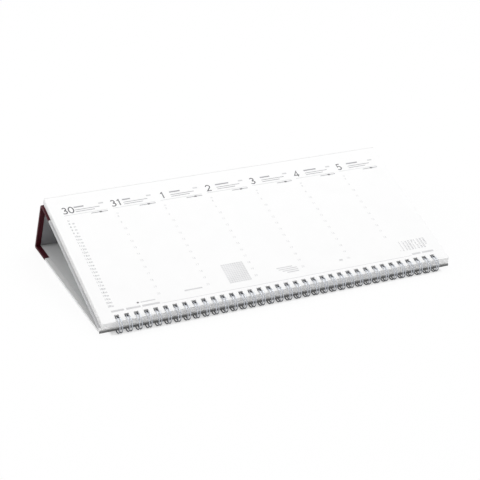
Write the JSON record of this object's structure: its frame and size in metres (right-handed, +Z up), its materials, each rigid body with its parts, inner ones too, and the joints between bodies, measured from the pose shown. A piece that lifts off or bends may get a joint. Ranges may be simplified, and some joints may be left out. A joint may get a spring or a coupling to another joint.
{
  "type": "desk calendar",
  "caption": "Weekly desk calendar: wire-bound paper leaves on a sloping wedge stand of three boards hinged by a dark red cloth spine; the week's leaf turns over the wire.",
  "frame": {"origin": "on the desk, under the middle of the calendar's outline", "axes": "+X along the wire to the user's right, +Y from the wire to the spine at the back, +Z up from the desk"},
  "size_m": [0.3288, 0.1728, 0.0579],
  "materials": {
    "leaf_paper": "uncoated white writing paper",
    "backing_card": "plain grey-white card",
    "grey_board": "raw grey bookbinding board",
    "cover_paper": "smooth white cover paper",
    "lining_paper": "matt light grey lining paper",
    "book_cloth": "dark red leather-grained book cloth",
    "wire": "silver coated steel wire"
  },
  "bodies": {
    "stand": {"backing_card": "backing_card", "base_board": "grey_board", "spine_board": "grey_board", "top_board": "grey_board", "base_cover_paper": "cover_paper", "top_cover_paper": "cover_paper", "base_lining": "lining_paper", "spine_lining": "lining_paper", "top_lining": "lining_paper", "spine_cloth": "book_cloth", "binding_wire": "wire", "leaves_january": "leaf_paper", "leaves_february": "leaf_paper", "leaves_march": "leaf_paper", "leaves_april": "leaf_paper", "leaves_may": "leaf_paper", "leaves_june": "leaf_paper", "leaves_july": "leaf_paper", "leaves_august": "leaf_paper", "leaves_september": "leaf_paper", "leaves_october": "leaf_paper", "leaves_november": "leaf_paper", "leaves_december": "leaf_paper"},
    "week_leaf": {"week_leaf": "leaf_paper"}
  },
  "joints": [
    {"name": "leaf_turn", "type": "hinge", "parent": "stand", "child": "week_leaf", "pos_m": [0, -0.07952, 0.0069], "axis": [1, 0, 0], "range_deg": [0, 162]}
  ]
}
